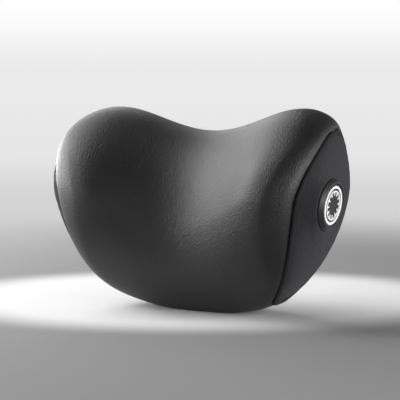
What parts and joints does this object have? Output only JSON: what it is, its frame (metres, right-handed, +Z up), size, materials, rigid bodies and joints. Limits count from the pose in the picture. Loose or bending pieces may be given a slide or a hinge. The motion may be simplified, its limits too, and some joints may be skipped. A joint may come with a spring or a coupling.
{
  "type": "car neck pillow",
  "caption": "Butterfly-shaped car neck pillow: foam core in a sewn leather cover with fabric ends, a round badge and an elastic headrest strap.",
  "frame": {"origin": "middle of the flat base, on the surface that the pillow stands on", "axes": "+Z up, +X towards the end with the badge, -Y towards the neck, +Y towards the seat"},
  "size_m": [0.2971, 0.1379, 0.19],
  "materials": {
    "foam": "open-cell memory foam, matt",
    "leather": "smooth satin nappa leather, fine grain",
    "panel_fabric": "fine matt technical fabric",
    "badge_rubber": "moulded, matt",
    "badge_inlay": "pale moulded inlay",
    "webbing": "woven elastic"
  },
  "bodies": {
    "root": {"foam_core": "foam", "leather_wrap": "leather", "back_panel": "panel_fabric", "side_panel_right": "panel_fabric", "side_panel_left": "panel_fabric", "badge_disc": "badge_rubber", "badge_ring_outer": "badge_inlay", "badge_ring_inner": "badge_inlay", "headrest_strap": "webbing"}
  },
  "joints": []
}
